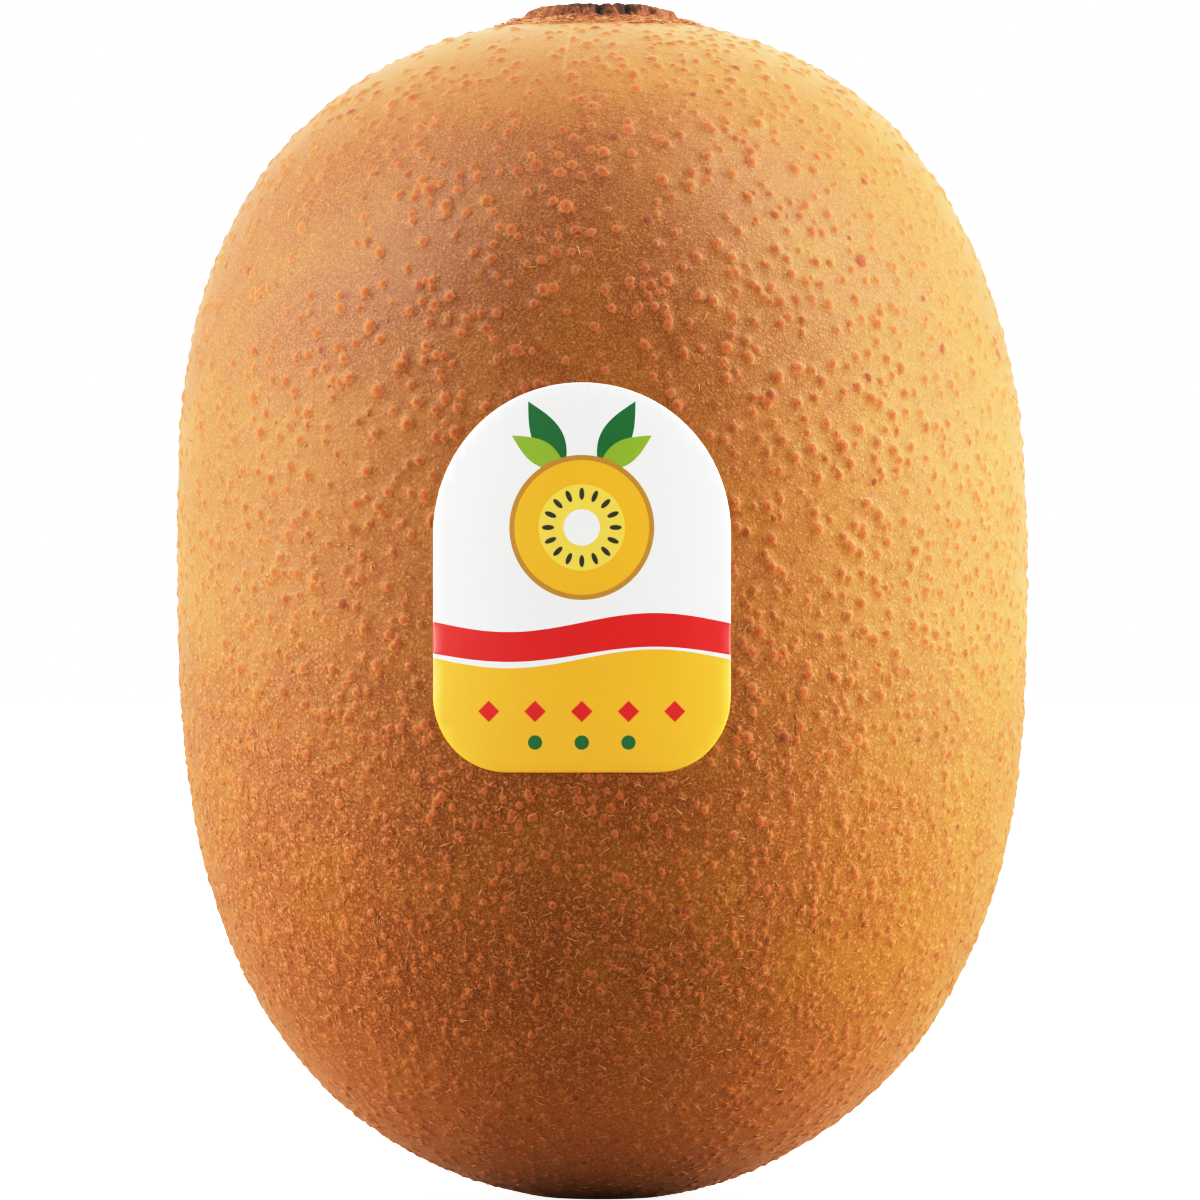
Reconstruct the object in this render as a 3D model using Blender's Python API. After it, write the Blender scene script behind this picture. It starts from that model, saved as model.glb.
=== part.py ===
"""A golden kiwi fruit standing on its blossom end, with a blank paper label on its front.

Metres, +Z up. The origin is under the middle of the fruit, on the surface that it stands on.
The label faces -Y. The fruit is one solid, as it grew: the corky stalk scar on top and the
dimple of the blossom end are part of it.
"""

import math

import bmesh
import bpy

MM = 0.001

# The fruit's outline, seen from the front
FRUIT_HALF_WIDTH = 25.6 * MM
DEPTH_SHARE = 0.94
WIDEST_HEIGHT = 39.5 * MM
SHOULDER_HEIGHT = 71.0 * MM
BLOSSOM_DROP = 0.25 * MM
SHOULDER_SIDE_POWER = 2.31
SHOULDER_RISE_POWER = 2.45
BLOSSOM_SIDE_POWER = 1.95
BLOSSOM_RISE_POWER = 3.0

# The flat spot that the fruit stands on, and the dimple in it
FOOT_RADIUS = 4.4 * MM
FOOT_EDGE_RISE = 0.12 * MM
DIMPLE_RADIUS = 1.7 * MM
DIMPLE_DEPTH = 0.6 * MM

# The corky scar that the stalk left, from its outer edge to the pit in its middle
SCAR_BASE_RADIUS = 5.9 * MM
SCAR_RIM_RADIUS = 4.5 * MM
SCAR_RIM_WIDTH = 0.7 * MM
SCAR_HEIGHT = 1.3 * MM
DISH_RADIUS = 3.1 * MM
DISH_DEPTH = 0.9 * MM
PLUG_RADIUS = 1.9 * MM
PLUG_RISE = 0.45 * MM
PIT_RADIUS = 0.6 * MM
PIT_DEPTH = 0.5 * MM
RIM_RAGGEDNESS = 0.16 * MM

# How far the fruit's middle leans off the vertical line: height, reach and sideways shift
SHOULDER_LEAN = (57 * MM, 9 * MM, -0.28 * MM)
BELLY_LEAN = (17 * MM, 12 * MM, 0.14 * MM)
LOBE_SHARE = 0.005

# The label, measured along the skin
LABEL_WIDTH = 17.5 * MM
LABEL_HEIGHT = 22.6 * MM
LABEL_CORNER = 4.4 * MM
LABEL_THICKNESS = 0.12 * MM
LABEL_GAP = 0.3 * MM
LABEL_CENTRE_X = -1.05 * MM
LABEL_CENTRE_Z = 37.3 * MM

# Fineness
SEGMENTS = 72
SHOULDER_RINGS = 17
BLOSSOM_RINGS = 17
LABEL_COLUMNS = 12
LABEL_ROWS = 18

SKIN_COLOUR = (0.47, 0.22, 0.06, 1.0)
LABEL_COLOUR = (0.86, 0.86, 0.85, 1.0)
MERGE = 1e-7


def clear_scene():
    for old in list(bpy.data.objects):
        bpy.data.objects.remove(old)


def plain_material(name, colour, roughness):
    material = bpy.data.materials.new(name)
    material.use_nodes = True
    shader = material.node_tree.nodes["Principled BSDF"]
    shader.inputs["Base Color"].default_value = colour
    shader.inputs["Roughness"].default_value = roughness
    shader.inputs["Metallic"].default_value = 0.0
    return material


def shoulder_point(turn):
    """A point of the upper outline: turn is 0 at the widest ring and a quarter turn on top."""
    radius = FRUIT_HALF_WIDTH * math.cos(turn) ** (2 / SHOULDER_SIDE_POWER)
    rise = (SHOULDER_HEIGHT - WIDEST_HEIGHT) * math.sin(turn) ** (2 / SHOULDER_RISE_POWER)
    return radius, WIDEST_HEIGHT + rise


def blossom_point(turn):
    """A point of the lower outline: turn is 0 at the widest ring and a quarter turn below."""
    radius = FRUIT_HALF_WIDTH * math.cos(turn) ** (2 / BLOSSOM_SIDE_POWER)
    drop = (WIDEST_HEIGHT + BLOSSOM_DROP) * math.sin(turn) ** (2 / BLOSSOM_RISE_POWER)
    return radius, WIDEST_HEIGHT - drop


def turn_at_radius(radius, side_power):
    return math.acos((radius / FRUIT_HALF_WIDTH) ** (side_power / 2))


def foot_profile():
    """The underside, from the dimple's middle to the edge of the flat spot."""
    return [
        (0.0, DIMPLE_DEPTH),
        (DIMPLE_RADIUS * 0.5, DIMPLE_DEPTH * 0.9),
        (DIMPLE_RADIUS * 0.85, DIMPLE_DEPTH * 0.45),
        (DIMPLE_RADIUS, 0.0),
        (FOOT_RADIUS, 0.0),
    ]


def skin_profile():
    """The outline from just above the foot, over the widest ring, to the edge of the stalk scar."""
    foot_turn = turn_at_radius(FOOT_RADIUS * 1.35, BLOSSOM_SIDE_POWER)
    scar_turn = turn_at_radius(SCAR_BASE_RADIUS, SHOULDER_SIDE_POWER)
    lower = [blossom_point(foot_turn * (1 - i / BLOSSOM_RINGS)) for i in range(BLOSSOM_RINGS)]
    upper = [shoulder_point(scar_turn * i / SHOULDER_RINGS) for i in range(SHOULDER_RINGS + 1)]
    lowest_radius, lowest_height = lower[0]
    lower[0] = (lowest_radius, max(lowest_height, FOOT_EDGE_RISE))
    return lower + upper


def scar_profile():
    """The stalk scar, from the skin up over its ragged rim, across the dish to the pit."""
    _, skin_height = shoulder_point(turn_at_radius(SCAR_BASE_RADIUS, SHOULDER_SIDE_POWER))
    rim_height = skin_height + SCAR_HEIGHT
    dish_height = rim_height - DISH_DEPTH
    plug_height = dish_height + PLUG_RISE
    return [
        (SCAR_BASE_RADIUS * 0.94, skin_height + SCAR_HEIGHT * 0.35),
        (SCAR_RIM_RADIUS + SCAR_RIM_WIDTH * 0.4, rim_height - SCAR_HEIGHT * 0.12),
        (SCAR_RIM_RADIUS, rim_height),
        (SCAR_RIM_RADIUS - SCAR_RIM_WIDTH, rim_height - SCAR_HEIGHT * 0.1),
        (DISH_RADIUS, dish_height),
        (PLUG_RADIUS * 1.2, dish_height),
        (PLUG_RADIUS, plug_height),
        (PIT_RADIUS * 1.3, plug_height),
        (PIT_RADIUS, plug_height - PIT_DEPTH),
        (0.0, plug_height - PIT_DEPTH),
    ]


def lean_at(height):
    """How far the fruit's middle stands off the vertical line at this height."""
    return sum(
        shift * math.exp(-(((height - middle) / reach) ** 2))
        for middle, reach, shift in (SHOULDER_LEAN, BELLY_LEAN)
    )


def lobes(azimuth, height):
    """The cross-section's slight departure from an oval, which fades towards both ends."""
    fade = math.sin(math.pi * min(max(height / SHOULDER_HEIGHT, 0.0), 1.0))
    waves = math.cos(3 * azimuth + 0.6) + 0.6 * math.cos(2 * azimuth + 1.9)
    return 1 + LOBE_SHARE * fade * waves


def raggedness(azimuth):
    """The stalk scar's rim is torn, so its height changes around it."""
    waves = math.sin(5 * azimuth + 0.4) + 0.7 * math.sin(9 * azimuth + 2.0)
    return RIM_RAGGEDNESS * (waves + 0.5 * math.sin(14 * azimuth + 1.1)) / 2.2


def shape_vertex(point):
    """Takes a vertex of the turned body to the oval, slightly lobed and leaning fruit."""
    x, y, z = point
    radius = math.hypot(x, y)
    azimuth = math.atan2(y, x)
    widening = lobes(azimuth, z)
    if z > SHOULDER_HEIGHT and radius > DISH_RADIUS:
        z += raggedness(azimuth)
    return (
        radius * widening * math.cos(azimuth) + lean_at(z),
        radius * widening * math.sin(azimuth) * DEPTH_SHARE,
        z,
    )


def make_fruit():
    """Spins the outline about the vertical axis, then shapes the turned body."""
    body = bmesh.new()
    profile = foot_profile() + skin_profile() + scar_profile()
    points = [body.verts.new((radius, 0.0, height)) for radius, height in profile]
    for lower, upper in zip(points, points[1:]):
        body.edges.new((lower, upper))
    bmesh.ops.spin(
        body,
        geom=body.verts[:] + body.edges[:],
        cent=(0, 0, 0),
        axis=(0, 0, 1),
        angle=math.tau,
        steps=SEGMENTS,
        use_merge=False,
        use_duplicate=False,
    )
    bmesh.ops.remove_doubles(body, verts=body.verts[:], dist=MERGE)
    for vertex in body.verts:
        vertex.co = shape_vertex(vertex.co)
    bmesh.ops.recalc_face_normals(body, faces=body.faces[:])
    return finish_object("kiwi_fruit", body, plain_material("kiwi_skin", SKIN_COLOUR, 0.6))


def skin_radius(height):
    """The turned body's radius at a height between the foot and the stalk scar."""
    if height >= WIDEST_HEIGHT:
        share = (height - WIDEST_HEIGHT) / (SHOULDER_HEIGHT - WIDEST_HEIGHT)
        side, rise = SHOULDER_SIDE_POWER, SHOULDER_RISE_POWER
    else:
        share = (WIDEST_HEIGHT - height) / (WIDEST_HEIGHT + BLOSSOM_DROP)
        side, rise = BLOSSOM_SIDE_POWER, BLOSSOM_RISE_POWER
    return FRUIT_HALF_WIDTH * (1 - share**rise) ** (1 / side)


def front_of_skin(x, height, lift):
    """The point of the front skin at this x and height, lifted off it towards -Y."""
    radius = skin_radius(height)
    across = (x - lean_at(height)) / radius
    azimuth = -math.acos(max(-1.0, min(1.0, across)))
    ring = radius * lobes(azimuth, height)
    azimuth = -math.acos(max(-1.0, min(1.0, (x - lean_at(height)) / ring)))
    return x, ring * math.sin(azimuth) * DEPTH_SHARE - lift, height


def label_half_width(up):
    """Half the label's width at a distance up from its bottom edge: round corners, arched top."""
    half = LABEL_WIDTH / 2
    arch_start = LABEL_HEIGHT - half
    if up < LABEL_CORNER:
        return half - LABEL_CORNER + math.sqrt(LABEL_CORNER**2 - (LABEL_CORNER - up) ** 2)
    if up > arch_start:
        return math.sqrt(max(half**2 - (up - arch_start) ** 2, 0.0))
    return half


def make_label():
    """A thin arched label that follows the front of the skin, just clear of it."""
    sheet = bmesh.new()
    bend = FRUIT_HALF_WIDTH / DEPTH_SHARE
    rows = []
    for row in range(LABEL_ROWS + 1):
        up = LABEL_HEIGHT * (1 - math.cos(math.pi * row / LABEL_ROWS)) / 2
        half = label_half_width(up)
        points = []
        for column in range(LABEL_COLUMNS + 1):
            along = half * (2 * column / LABEL_COLUMNS - 1)
            x = LABEL_CENTRE_X + bend * math.sin(along / bend)
            height = LABEL_CENTRE_Z - LABEL_HEIGHT / 2 + up
            points.append(sheet.verts.new(front_of_skin(x, height, LABEL_GAP)))
        rows.append(points)
    for lower, upper in zip(rows, rows[1:]):
        for i in range(LABEL_COLUMNS):
            sheet.faces.new((lower[i], lower[i + 1], upper[i + 1], upper[i]))
    bmesh.ops.remove_doubles(sheet, verts=sheet.verts[:], dist=MERGE)
    label = finish_object("label", sheet, plain_material("label_paper", LABEL_COLOUR, 0.35))
    backing = label.modifiers.new("thickness", "SOLIDIFY")
    backing.thickness = LABEL_THICKNESS
    backing.offset = 1.0
    return label


def finish_object(name, shape, material):
    mesh = bpy.data.meshes.new(name)
    shape.to_mesh(mesh)
    shape.free()
    mesh.shade_smooth()
    mesh.materials.append(material)
    made = bpy.data.objects.new(name, mesh)
    bpy.context.scene.collection.objects.link(made)
    return made


clear_scene()
make_fruit()
make_label()
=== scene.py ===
"""Looks of a whole golden kiwi fruit: its corky, downy skin, stalk scar, loose down and label.

The frame gives the fruit and the label at their real size. Work is done in millimetres, in the frame's
own axes: +Z up, the label facing -Y. Meshes are turned to metres when they are made.
"""

import math

import bpy
import numpy as np
from bpy.props import FloatProperty, FloatVectorProperty, IntProperty, PointerProperty
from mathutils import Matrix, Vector, geometry, kdtree, noise


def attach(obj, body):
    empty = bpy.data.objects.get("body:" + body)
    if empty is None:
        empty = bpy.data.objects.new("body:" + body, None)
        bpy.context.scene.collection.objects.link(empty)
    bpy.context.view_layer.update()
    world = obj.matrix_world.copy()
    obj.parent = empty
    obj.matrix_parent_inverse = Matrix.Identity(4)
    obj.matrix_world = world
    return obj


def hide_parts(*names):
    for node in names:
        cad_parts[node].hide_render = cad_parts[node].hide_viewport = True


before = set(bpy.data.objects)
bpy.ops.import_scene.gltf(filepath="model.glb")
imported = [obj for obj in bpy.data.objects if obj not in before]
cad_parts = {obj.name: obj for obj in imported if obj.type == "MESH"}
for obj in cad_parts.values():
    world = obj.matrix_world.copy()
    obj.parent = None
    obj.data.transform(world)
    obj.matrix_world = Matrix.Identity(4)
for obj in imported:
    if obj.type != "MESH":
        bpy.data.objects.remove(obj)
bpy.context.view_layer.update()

bl_info = {
    "name": "Golden Kiwi Fruit",
    "version": (1, 0, 0),
    "blender": (4, 5, 0),
    "location": "View3D > Sidebar > Kiwi Fruit",
    "description": "Grows a golden kiwi fruit with its corky spots, down, stalk scar and label",
    "category": "Add Mesh",
}

MM = 0.001

# The outline of the frame's fruit, in millimetres
HALF_WIDTH = 25.6
DEPTH_SHARE = 0.94
WIDEST_HEIGHT = 39.5
SHOULDER_HEIGHT = 71.0
# How far the unflattened blossom end would reach below the floor, and how softly it is flattened
BLOSSOM_DROP = 0.25
FOOT_SOFTNESS = 0.05
# Powers of the superellipse above and below the widest place: of the radius and of the height
SHOULDER_POWERS = (2.31, 2.45)
BLOSSOM_POWERS = (1.95, 3.0)
# Where the outline leans sideways: height, reach up and down, and shift
LEANS = ((57.0, 9.0, -0.28), (17.0, 12.0, 0.14))
# The cross-section's lobes: how many round the fruit, turn and share; and how far they stand out
LOBES = ((3, 0.6, 1.0), (2, 1.9, 0.6))
LOBE_SHARE = 0.005
OUTLINE_STEPS = 6000
DIMPLE_RADIUS = 1.9
DIMPLE_DEPTH = 0.6

# The stalk scar
SCAR_BASE = 5.9
SCAR_RIM = 4.25
SCAR_HEIGHT = 0.98
# How much of the height is the torn wall; the rest is skin that rises to its foot
WALL_SHARE = 0.68
FOOT_WIDTH = 1.5
DISH_DEPTH = 0.85
PLUG_RADIUS = 1.9
PLUG_RISE = 0.42
PIT_RADIUS = 0.6
PIT_DEPTH = 0.5
# Where the scar's front wall has rotted into a hollow: sideways place and half width
HOLLOWS = ((1.6, 0.5), (-0.05, 0.3))
HOLLOW_DEPTH = 0.4
# Loose layers of cork on the scar's wall
LEDGE_GAP = 0.42
LEDGE_HEIGHT = 0.05

# The fine ridge that runs down from the scar: sideways place and reach below the scar at its two ends
RIDGE_TOP = (-1.5, 0.1)
RIDGE_END = (-2.15, 9.3)
RIDGE_HALF_WIDTH = 0.16
RIDGE_HEIGHT = 0.035
RIDGE_POINTS = 40

# Fineness of the meshes
TABLE_STEP = 0.02
SKIN_SPACING = 0.56
END_SPACING = 0.3
SCAR_SPACING = 0.12
SCAR_RING_POINTS = 300
# Height of a row of even triangles, as a share of their side
ROW_SHARE = math.sqrt(0.75)

# The skin's bake map: lowest and highest height of the belt, the belt's corner and size in the map, how
# many millimetres the whole map would span at the scale of the end discs, and the discs' middles
BELT = (4.0, 66.0)
BELT_CORNER = (0.01, 0.32)
BELT_SIZE = (0.96, 0.67)
DISC_SPAN = 112.0
DISC_MIDDLES = ((0.16, 0.155), (0.5, 0.155))

QUARTER = math.pi / 2


def linear(hex_text):
    """An sRGB hex colour as linear red, green, blue and full alpha."""
    shares = [int(hex_text[i : i + 2], 16) / 255 for i in (0, 2, 4)]
    return tuple(c / 12.92 if c <= 0.04045 else ((c + 0.055) / 1.055) ** 2.4 for c in shares) + (1.0,)


def colour(name, description, hex_text):
    shade = linear(hex_text)
    return FloatVectorProperty(
        name=name, description=description, subtype="COLOR", size=4, min=0.0, max=1.0, default=shade
    )


def measure(name, description, millimetres):
    return FloatProperty(
        name=name, description=description, default=millimetres * MM, min=0.0, unit="LENGTH", precision=6
    )


class KiwiSkinSettings(bpy.types.PropertyGroup):
    ground: colour("Ground", "Bare skin where it is lightest", "7c461a")
    gold: colour("Gold", "Bare skin of the sunny side and in greenish patches", "8f5d1c")
    russet: colour("Russet", "Bare skin where it is brownest, mostly low on the fruit", "7c431d")
    cork_rim: colour("Spot rim", "Edge of a corky spot", "bc7e4c")
    cork_face: colour("Spot face", "Top of a corky spot", "a85c30")
    cork_core: colour("Spot core", "Pore in the middle of a corky spot", "803c1f")
    bruise: colour("Dark spot", "The few corky spots that have dried dark", "7c4430")
    down: colour("Down", "Fine specks of worn down", "be8448")
    fibre: colour("Fibre", "Hair tips, and torn fibres round the stalk scar", "cf9a68")
    crust: colour("Scar crust", "Side of the stalk scar", "7a482c")
    # This dark colour also paints shade in the scar's hollows, pit and dished ring, and shadow on its torn
    # edge
    scar_dark_and_shade: colour("Scar edge", "Torn edge and hollows of the stalk scar", "2c1810")
    spots: IntProperty(name="Corky spots", description="Tried all over the skin", default=15000, min=0)
    spot_radius: measure("Spot radius", "Usual radius of a corky spot on the upper half", 0.255)
    hairs: IntProperty(name="Hairs", description="Loose hairs lying on the skin", default=6000, min=0)
    hair_radius: measure("Hair radius", "Radius of a hair at its root", 0.022)


class KiwiLabelSettings(bpy.types.PropertyGroup):
    width: measure("Width", "Width along the skin", 17.5)
    height: measure("Height", "Height along the skin", 22.6)
    thickness: measure("Thickness", "Paper and glue", 0.12)
    paper: colour("Paper", "Unprinted paper", "f8f8f7")
    gold: colour("Gold ink", "Lower part of the print, and the slice", "f6b01c")
    red: colour("Red ink", "Band across the print, and diamonds", "d40a08")
    green: colour("Dark green ink", "Leaves and dots", "046a2e")
    lime: colour("Light green ink", "Leaves", "8aaa28")
    rind: colour("Slice edge", "Edge of the fruit slice in the print", "b8862b")
    flesh: colour("Slice middle", "Paler flesh round the core of the slice", "f8d054")
    seed: colour("Seeds", "Seeds of the slice", "27301a")


class KiwiStageSettings(bpy.types.PropertyGroup):
    camera_distance: measure("Camera distance", "From the fruit's middle", 600.0)
    camera_height: measure("Camera height", "Above the floor", 36.0)
    side_power: FloatProperty(name="Side lights", description="Full power", default=11.0, unit="POWER")
    gloss_power: FloatProperty(name="Gloss lights", description="Power of each", default=8.5, unit="POWER")
    floor: colour("Floor", "Plain pale floor", "f4f4f2")


def smooth(share):
    """0 below 0, 1 above 1, and a soft S between them."""
    share = np.clip(share, 0.0, 1.0)
    return share * share * (3 - 2 * share)


def roughly(points, size, seed=0.0):
    """Soft random values from -1 to 1 at these points, with features of this size."""
    shift = Vector((seed * 3.7, seed * 5.3, seed * 7.9))
    return np.array([noise.noise(Vector(point) / size + shift) for point in points.tolist()])


def unit(vectors):
    return vectors / np.linalg.norm(vectors, axis=1, keepdims=True)


def columns(*values):
    """Points from the values of each of their coordinates."""
    return np.stack(values, axis=1)


def outline_tables():
    """The turned outline against its arc length, from the blossom end's middle to the stalk scar's.

    "plane" is each ring's radius in a flat drawing of the skin that keeps every angle true, so that
    triangles that are well shaped in the drawing are well shaped on the fruit.
    """
    turn = np.linspace(0.0, QUARTER, OUTLINE_STEPS)
    side, rise = BLOSSOM_POWERS
    low_radius = HALF_WIDTH * np.cos(turn) ** (2 / side)
    low_height = WIDEST_HEIGHT - (WIDEST_HEIGHT + BLOSSOM_DROP) * np.sin(turn) ** (2 / rise)
    low_height = (low_height + np.hypot(low_height, FOOT_SOFTNESS)) / 2
    side, rise = SHOULDER_POWERS
    high_radius = HALF_WIDTH * np.cos(turn) ** (2 / side)
    high_height = WIDEST_HEIGHT + (SHOULDER_HEIGHT - WIDEST_HEIGHT) * np.sin(turn) ** (2 / rise)
    radius = np.concatenate([low_radius[::-1], high_radius[1:]])
    height = np.concatenate([low_height[::-1], high_height[1:]])
    length = np.concatenate([[0.0], np.cumsum(np.hypot(np.diff(radius), np.diff(height)))])
    arc = np.arange(0.0, length[-1], TABLE_STEP)
    radius, height = np.interp(arc, length, radius), np.interp(arc, length, height)
    outwards = unit(columns(np.gradient(height, arc), -np.gradient(radius, arc)))
    growth = TABLE_STEP / np.maximum((radius[1:-1] + radius[2:]) / 2, TABLE_STEP)
    plane = arc[1] * np.exp(np.concatenate([[0.0], np.cumsum(growth)]))
    return {
        "arc": arc,
        "radius": radius,
        "height": height,
        "outwards_radius": outwards[:, 0],
        "outwards_height": outwards[:, 1],
        "plane": np.concatenate([[0.0], plane]),
    }


OUTLINE = outline_tables()
UPPER_HALF = OUTLINE["height"] > WIDEST_HEIGHT
SCAR_ARC = float(np.interp(-SCAR_BASE, -OUTLINE["radius"][UPPER_HALF], OUTLINE["arc"][UPPER_HALF]))


def at_arc(arc, column):
    return np.interp(arc, OUTLINE["arc"], OUTLINE[column])


def lean_at(height):
    """How far the fruit's middle stands off the vertical line at this height."""
    return sum(shift * np.exp(-(((height - middle) / reach) ** 2)) for middle, reach, shift in LEANS)


def lobes(azimuth, height):
    """The cross-section's slight departure from an oval, which fades towards both ends."""
    fade = np.sin(np.pi * np.clip(height / SHOULDER_HEIGHT, 0.0, 1.0))
    swell = sum(share * np.cos(count * azimuth + turn) for count, turn, share in LOBES)
    return 1 + LOBE_SHARE * fade * swell


def shaped(radius, azimuth, height):
    """Points of the turned outline taken to the oval, slightly lobed and leaning fruit."""
    wide = radius * lobes(azimuth, height)
    across = wide * np.cos(azimuth) + lean_at(height)
    return columns(across, wide * np.sin(azimuth) * DEPTH_SHARE, height)


def skin_frame(azimuth, arc):
    """Points of the smooth skin, with the directions outwards, around and along the outline."""
    points = shaped(at_arc(arc, "radius"), azimuth, at_arc(arc, "height"))
    flat, upwards = at_arc(arc, "outwards_radius"), at_arc(arc, "outwards_height")
    outwards = unit(columns(flat * np.cos(azimuth), flat * np.sin(azimuth) / DEPTH_SHARE, upwards))
    around = unit(columns(-np.sin(azimuth), DEPTH_SHARE * np.cos(azimuth), np.zeros_like(arc)))
    return points, outwards, around, np.cross(outwards, around)


def front_azimuth(across, arc):
    """The azimuth on the front half at which the skin stands this far sideways."""
    radius, height = at_arc(arc, "radius"), at_arc(arc, "height")
    azimuth = np.full_like(radius, -QUARTER)
    for _ in range(3):
        wide = radius * lobes(azimuth, height)
        azimuth = -np.arccos(np.clip((across - lean_at(height)) / wide, -1.0, 1.0))
    return azimuth


# The label

# Sideways place and height of its middle, in millimetres
LABEL_CENTRE = (-1.05, 37.3)
LABEL_CORNER = 4.4
# Height of the rim as a share of the label's thickness
LABEL_RIM = 0.62
# Radius of the skin round the waist, that the label bends to
LABEL_BEND = HALF_WIDTH / DEPTH_SHARE
# Width of the rounded edge, and the gap that the glue fills
LABEL_EDGE = 0.1
LABEL_GLUE = 0.015
LABEL_SPACING = 0.7
# The print's fruit slice: height above the label's middle, number of seeds and radius of their ring
SLICE_UP = 2.9
SEEDS = 16
SEED_RING = 1.95
# Sideways gap between the small motifs low in the print
MOTIF_GAP = 2.7


def label_half_width(up, width, height):
    """Half the label's width at a distance up from its bottom edge: round lower corners, arched top."""
    half = width / 2
    low = np.clip(LABEL_CORNER - up, 0.0, LABEL_CORNER)
    high = np.clip(up - (height - half), 0.0, half)
    return half - LABEL_CORNER + np.sqrt(LABEL_CORNER**2 - low**2) - (half - np.sqrt(half**2 - high**2))


def under_label(points, settings, grow):
    """True for the points that the label covers once it is made this much larger all round."""
    width, height = settings.width / MM + 2 * grow, settings.height / MM + 2 * grow
    along = LABEL_BEND * np.arcsin(np.clip((points[:, 0] - LABEL_CENTRE[0]) / LABEL_BEND, -1.0, 1.0))
    up = points[:, 2] - LABEL_CENTRE[1] + height / 2
    level = (up > 0) & (up < height)
    inside = np.abs(along) < label_half_width(np.clip(up, 0.0, height), width, height)
    return level & inside & (points[:, 1] < 0)


# The corky spots

# Distance from a spot's middle in spot radii, and the share of its height there
SPOT_PROFILE = ((0.0, 0.5, 1.0, 1.5), (0.72, 1.0, 0.5, 0.0))
# Rings of the mesh's points on a spot: radius in spot radii, and number of points
SPOT_RINGS = ((0.0, 1), (0.5, 5), (1.0, 8), (1.5, 8))
SMALL_SPOT_RINGS = ((0.0, 1), (0.75, 5), (1.45, 6))
SMALL_SPOT = 0.15
# Least distance between two spots' middles; low on the fruit it is less by this, and the spots are
# smaller by this share
SPOT_GAP = 0.66
LOW_GAP_CUT = 0.22
LOW_SIZE_CUT = 0.33
# From the first height up to the second the fruit changes from russet to its upper colour
RUSSET_HEIGHTS = (12.0, 44.0)
# Height of a spot as a share of its radius
SPOT_STEEPNESS = 0.34
# Share of the spots that have a second one grown on to them
TWIN_SHARE = 0.16
# A distance to the nearest spot or ridge that stands for none near
FAR = 9.0


def nearness(points):
    """A tree that finds the points near a place."""
    tree = kdtree.KDTree(len(points))
    for i, point in enumerate(points.tolist()):
        tree.insert(point, i)
    tree.balance()
    return tree


def random_arc(random, count):
    """Arc lengths of places spread evenly over the skin, outside the stalk scar."""
    within = OUTLINE["arc"] < SCAR_ARC
    share = np.cumsum(OUTLINE["radius"][within])
    return np.interp(random.random(count), share / share[-1], OUTLINE["arc"][within])


def lowness(height):
    """1 on the russet lower part of the fruit, 0 on its upper part."""
    low, high = RUSSET_HEIGHTS
    return 1 - smooth((height - low) / (high - low))


def scatter_spots(skin, label, random):
    """Places corky spots at random, no two too close, some of them grown together in pairs."""
    arc = random_arc(random, skin.spots)
    azimuth = random.uniform(-np.pi, np.pi, skin.spots)
    # Low on the fruit the spots are smaller and closer; they come in patches, most on the sunny side
    low = lowness(at_arc(arc, "height"))
    size = skin.spot_radius / MM * np.exp(random.normal(0.0, 0.18, skin.spots)) * (1 - LOW_SIZE_CUT * low)
    points = skin_frame(azimuth, arc)[0]
    gap = (SPOT_GAP - LOW_GAP_CUT * low) * random.uniform(0.75, 1.3, skin.spots)
    crowding = 0.62 + 0.4 * roughly(points, 11.0, 16) + 0.38 * low + 0.16 * np.cos(azimuth)
    allowed = (random.random(skin.spots) < crowding) & (arc > 3.0) & (arc < SCAR_ARC - 0.5)
    allowed &= ~under_label(points, label, 0.12)
    # A spot that is kept clears its own neighbourhood
    tree = nearness(points)
    for i in range(skin.spots):
        if allowed[i]:
            for _, other, _ in tree.find_range(points[i].tolist(), gap[i]):
                if other != i:
                    allowed[other] = False
    arc, azimuth, size = arc[allowed], azimuth[allowed], size[allowed]
    # Each twin gets its second spot
    twins = np.flatnonzero(random.random(len(arc)) < TWIN_SHARE)
    twins = twins[(arc[twins] > 4.0) & (arc[twins] < SCAR_ARC - 1.2)]
    turn = random.uniform(0.0, math.tau, len(twins))
    twin_size = size[twins] * random.uniform(0.6, 1.0, len(twins))
    apart = (size[twins] + twin_size) * random.uniform(0.75, 1.15, len(twins))
    beside = azimuth[twins] + apart * np.cos(turn) / at_arc(arc[twins], "radius")
    azimuth = np.concatenate([azimuth, beside])
    arc = np.concatenate([arc, arc[twins] + apart * np.sin(turn)])
    size = np.concatenate([size, twin_size])
    points, _, around, along = skin_frame(azimuth, arc)
    stretch = np.exp(np.abs(random.normal(0.0, 0.2, len(arc))))
    return {
        "azimuth": azimuth,
        "arc": arc,
        "points": points,
        "around": around,
        "along": along,
        "short": size / np.sqrt(stretch),
        "long": size * np.sqrt(stretch),
        "angle": random.normal(QUARTER, 0.7, len(arc)),
        "height": size * SPOT_STEEPNESS * random.uniform(0.7, 1.25, len(arc)),
        "tone": random.random(len(arc)),
    }


def spot_places(spots, rings, chosen):
    """Azimuth and arc of the points that carry the chosen spots, ring by ring."""
    reach = np.concatenate([np.full(count, ring) for ring, count in rings])
    turns = [(np.arange(count) + 0.5 * row) / count for row, (_, count) in enumerate(rings)]
    turn = np.concatenate(turns) * math.tau
    lengthways = spots["long"][chosen, None] * reach * np.cos(turn)
    sideways = spots["short"][chosen, None] * reach * np.sin(turn)
    cosine, sine = np.cos(spots["angle"][chosen, None]), np.sin(spots["angle"][chosen, None])
    around = lengthways * cosine - sideways * sine
    along = lengthways * sine + sideways * cosine
    arc = spots["arc"][chosen, None] + along
    azimuth = spots["azimuth"][chosen, None] + around / at_arc(spots["arc"][chosen, None], "radius")
    return azimuth.ravel(), arc.ravel(), np.tile(reach, int(chosen.sum()))


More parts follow.
